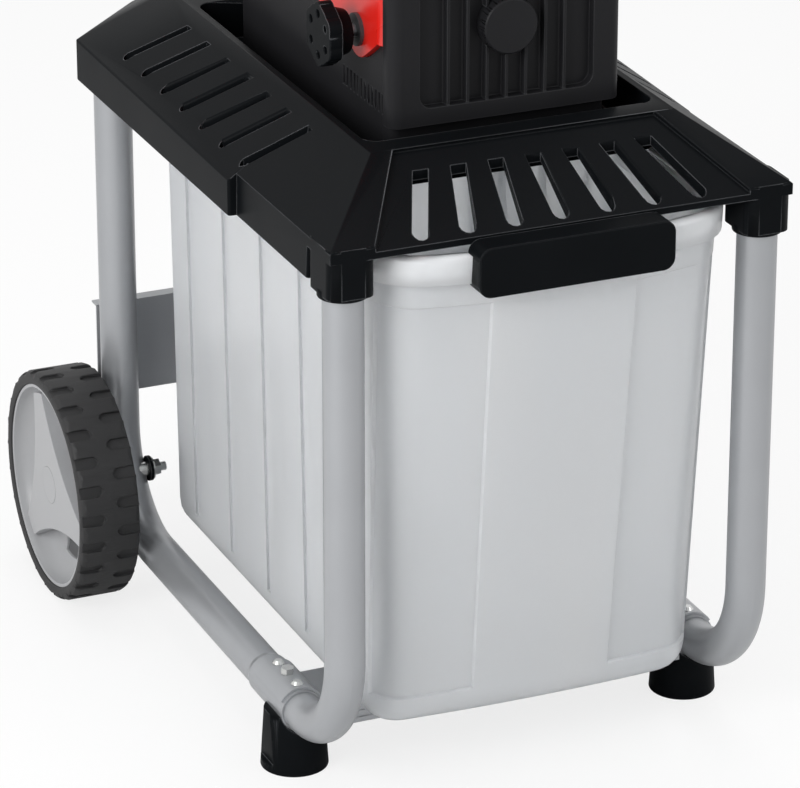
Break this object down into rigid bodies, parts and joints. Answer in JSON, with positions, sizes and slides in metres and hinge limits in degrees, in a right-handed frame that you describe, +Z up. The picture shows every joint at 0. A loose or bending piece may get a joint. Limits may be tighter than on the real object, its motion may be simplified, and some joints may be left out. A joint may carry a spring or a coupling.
{
  "type": "garden shredder",
  "caption": "Garden shredder with a feed hopper and a geared roller cutter on a wheeled tube stand, with a slotted hood and a pull-out translucent collecting box.",
  "frame": {"origin": "on the floor, under the middle of the object's bounding box", "axes": "+Z up, -Y towards the front where the box pulls out, +X to the right as seen from the front"},
  "size_m": [0.503, 0.64, 0.98],
  "materials": {
    "stand_paint": "silver-grey powder coat",
    "black_plastic": "satin black moulding",
    "dark_plastic": "dark grey moulding",
    "red_plastic": "red moulding",
    "green_plastic": "green moulding",
    "box_plastic": "milky translucent moulding",
    "rim_plastic": "light grey moulding",
    "tyre_rubber": "black rubber",
    "zinc": "bright zinc plate",
    "steel": "machined steel",
    "cast_metal": "cast",
    "copper": "enamelled copper wire"
  },
  "bodies": {
    "machine": {"front_leg_left": "stand_paint", "front_leg_right": "stand_paint", "rear_leg_left": "stand_paint", "rear_leg_right": "stand_paint", "front_rail": "stand_paint", "rear_plate": "stand_paint", "foot_left": "black_plastic", "foot_right": "black_plastic", "wheel_spacers": "black_plastic", "axle_washers": "black_plastic", "base_hood": "black_plastic", "lower_housing": "black_plastic", "front_cover": "black_plastic", "cover_cap": "black_plastic", "hopper_rim": "black_plastic", "control_panel": "black_plastic", "mains_inlet": "black_plastic", "discharge_chute": "black_plastic", "switch_block": "dark_plastic", "spindle_bush": "dark_plastic", "upper_housing": "red_plastic", "hopper": "red_plastic", "saddle_bolts": "zinc", "saddle_rivets": "zinc", "plate_screws": "zinc", "axle_left": "zinc", "axle_right": "zinc", "axle_nuts": "zinc", "front_bearing": "zinc", "rear_bearing": "zinc", "motor_stator": "steel", "cutter_case": "cast_metal", "gear_case": "cast_metal", "motor_shell": "cast_metal", "run_capacitor": "cast_metal", "motor_windings": "copper"},
    "wheel_left": {"rim_left": "rim_plastic", "hub_cap_left": "rim_plastic", "tyre_left": "tyre_rubber"},
    "wheel_right": {"rim_right": "rim_plastic", "hub_cap_right": "rim_plastic", "tyre_right": "tyre_rubber"},
    "box": {"collecting_box": "box_plastic", "box_grip": "black_plastic"},
    "adjuster": {"adjuster_knob": "black_plastic", "adjuster_spindle": "steel"},
    "plate": {"pressure_plate": "cast_metal"},
    "cutter": {"cutter_roller": "steel", "cutter_shaft": "steel", "output_gear": "steel"},
    "lay": {"layshaft": "steel", "layshaft_gear": "steel"},
    "rotor": {"motor_shaft": "steel", "motor_rotor": "cast_metal", "motor_fan": "dark_plastic"},
    "start": {"start_button": "green_plastic"},
    "stop": {"stop_button": "red_plastic"},
    "reset": {"reset_button": "dark_plastic"},
    "selector": {"direction_knob": "dark_plastic"}
  },
  "joints": [
    {"name": "wheel_left_spin", "type": "hinge", "parent": "machine", "child": "wheel_left", "pos_m": [-0.225, 0.2095, 0.1], "axis": [1, 0, 0], "continuous": true},
    {"name": "wheel_right_spin", "type": "hinge", "parent": "machine", "child": "wheel_right", "pos_m": [0.225, 0.2095, 0.1], "axis": [1, 0, 0], "continuous": true},
    {"name": "box_slide", "type": "slide", "parent": "machine", "child": "box", "axis": [0, -1, 0], "range_m": [0, 0.48]},
    {"name": "knob_turn", "type": "hinge", "parent": "machine", "child": "adjuster", "pos_m": [-0.11, -0.1235, 0.594], "axis": [1, 0, 0], "range_deg": [-962.4, 242.4]},
    {"name": "plate_slide", "type": "slide", "parent": "machine", "child": "plate", "axis": [1, 0, 0], "range_m": [-0.004, 0.001]},
    {"name": "cutter_spin", "type": "hinge", "parent": "machine", "child": "cutter", "pos_m": [0, -0.1205, 0.605], "axis": [0, 1, 0], "continuous": true},
    {"name": "lay_spin", "type": "hinge", "parent": "machine", "child": "lay", "pos_m": [0.04, -0.0455, 0.54334], "axis": [0, 1, 0], "continuous": true},
    {"name": "rotor_spin", "type": "hinge", "parent": "machine", "child": "rotor", "pos_m": [0.01, 0.0345, 0.57273], "axis": [0, 1, 0], "continuous": true},
    {"name": "start_press", "type": "slide", "parent": "machine", "child": "start", "axis": [0, 0.7619, -0.6476], "range_m": [0, 0.003], "stiffness_N_per_m": 400},
    {"name": "stop_press", "type": "slide", "parent": "machine", "child": "stop", "axis": [0, 0.7619, -0.6476], "range_m": [0, 0.003], "stiffness_N_per_m": 400},
    {"name": "reset_press", "type": "slide", "parent": "machine", "child": "reset", "axis": [0, 0.7619, -0.6476], "range_m": [0, 0.003], "stiffness_N_per_m": 300},
    {"name": "selector_turn", "type": "hinge", "parent": "machine", "child": "selector", "pos_m": [0.024, -0.17139, 0.72945], "axis": [0, -0.7619, 0.6476], "range_deg": [-45, 45]}
  ],
  "couplings": [
    {"joint": "knob_turn", "follows": "plate_slide", "rad_per_m": 4188.8},
    {"joint": "lay_spin", "follows": "cutter_spin", "ratio": -6},
    {"joint": "rotor_spin", "follows": "cutter_spin", "ratio": 36}
  ]
}
